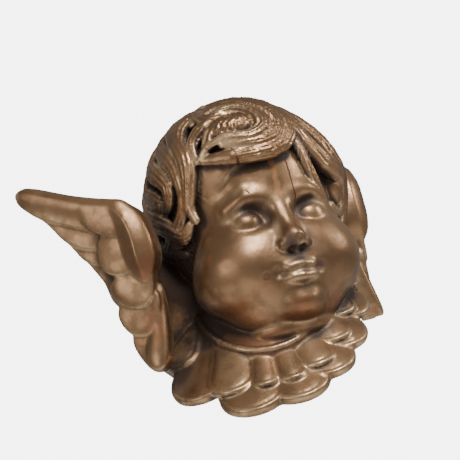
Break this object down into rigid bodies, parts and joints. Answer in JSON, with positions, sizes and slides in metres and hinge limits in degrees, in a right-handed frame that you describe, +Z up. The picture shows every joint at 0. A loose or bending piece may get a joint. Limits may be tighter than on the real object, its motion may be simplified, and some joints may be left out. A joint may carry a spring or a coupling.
{
  "type": "winged cherub head",
  "caption": "Carved and bronzed child's head with thick wavy locks, a ruff of rounded feathers and two swept wings, made to hang on a wall.",
  "frame": {"origin": "middle of the flat back face, in the plane of the wall", "axes": "+Z up, +Y into the wall, so the head looks towards -Y; +X to the carving's own left wing"},
  "size_m": [0.3627, 0.1697, 0.2743],
  "materials": {
    "bronzed_wood": "bronze paint with rubbed gold highlights and dark brown recesses, satin"
  },
  "bodies": {
    "root": {"winged_cherub_head": "bronzed_wood"}
  },
  "joints": []
}
